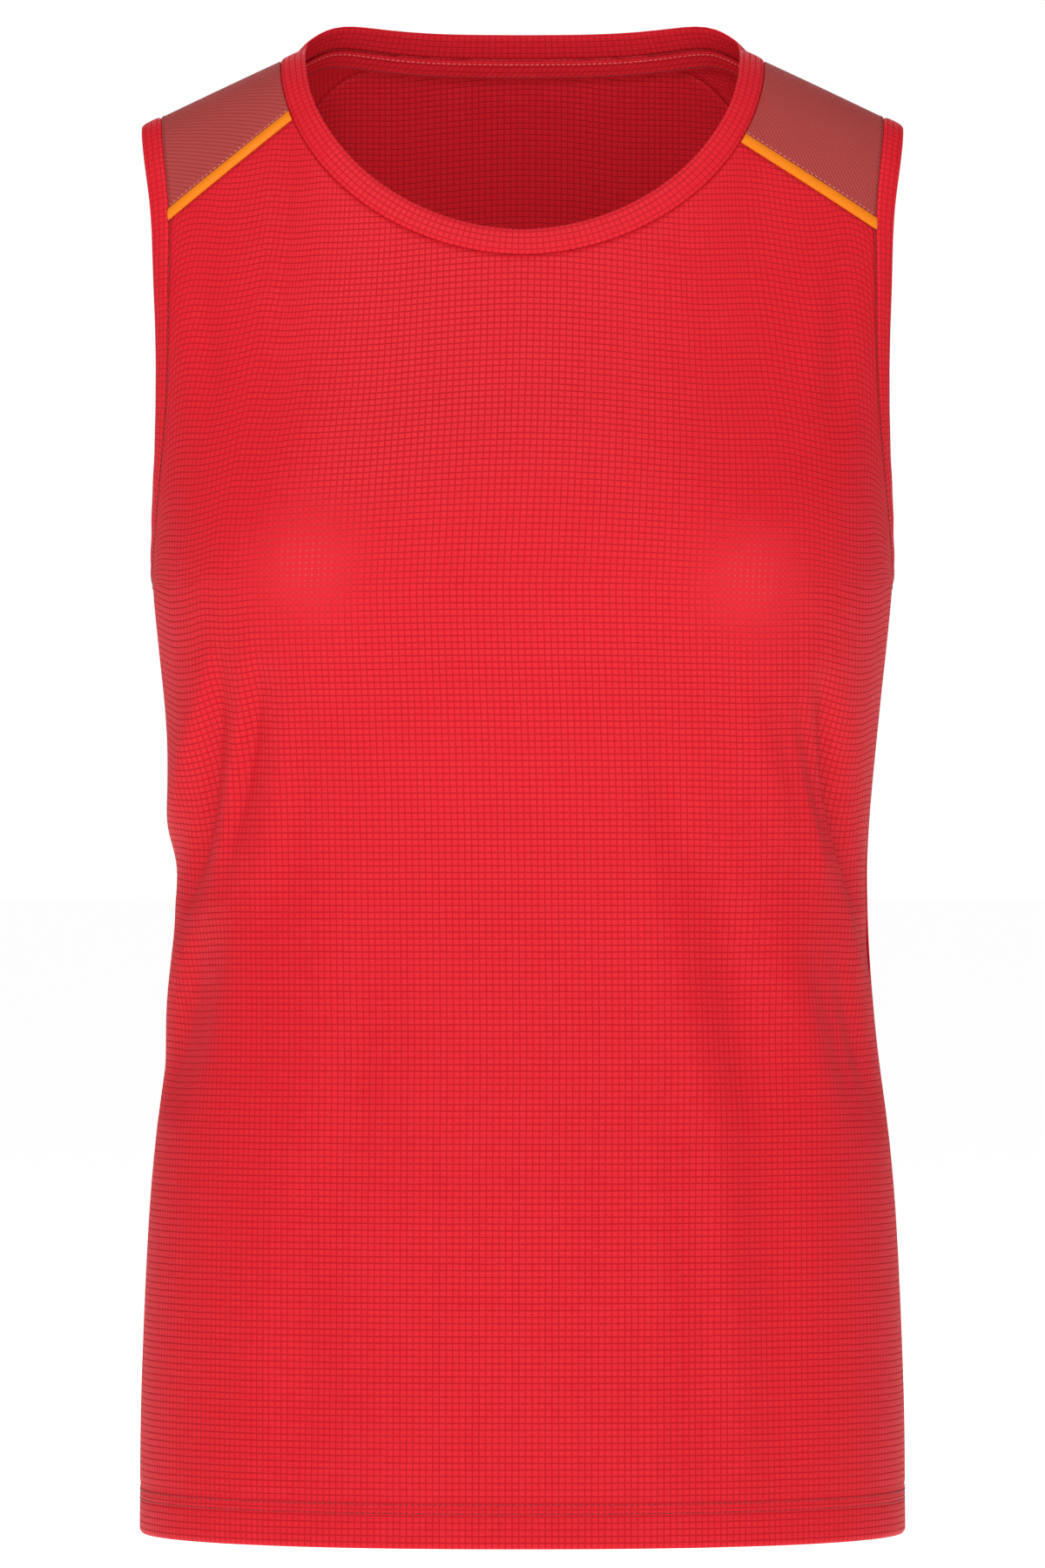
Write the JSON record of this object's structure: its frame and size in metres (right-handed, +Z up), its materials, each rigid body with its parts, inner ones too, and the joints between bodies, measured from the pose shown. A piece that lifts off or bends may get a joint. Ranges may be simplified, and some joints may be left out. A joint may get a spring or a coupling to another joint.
{
  "type": "running singlet",
  "caption": "Sleeveless running top in red grid knit, filled out and hollow, with brick-red shoulder yokes, orange piping and self bands.",
  "frame": {"origin": "the point midway between the places under the two shoulders where the wearer holds the garment up", "axes": "+Z up, the front faces -Y, and +X is the wearer's left"},
  "size_m": [0.319, 0.2209, 0.6286],
  "materials": {
    "grid_knit": "thin red polyester with a fine grid texture, soft satin sheen",
    "yoke_knit": "muted brick-red polyester with fine diagonal lines",
    "orange_piping": "smooth bright orange tape"
  },
  "bodies": {
    "root": {"front_panel": "grid_knit", "back_panel": "grid_knit", "yoke_left": "yoke_knit", "yoke_right": "yoke_knit", "piping_left": "orange_piping", "piping_right": "orange_piping", "neckband": "grid_knit", "armband_left": "grid_knit", "armband_right": "grid_knit", "back_neck_tape": "grid_knit"}
  },
  "joints": []
}
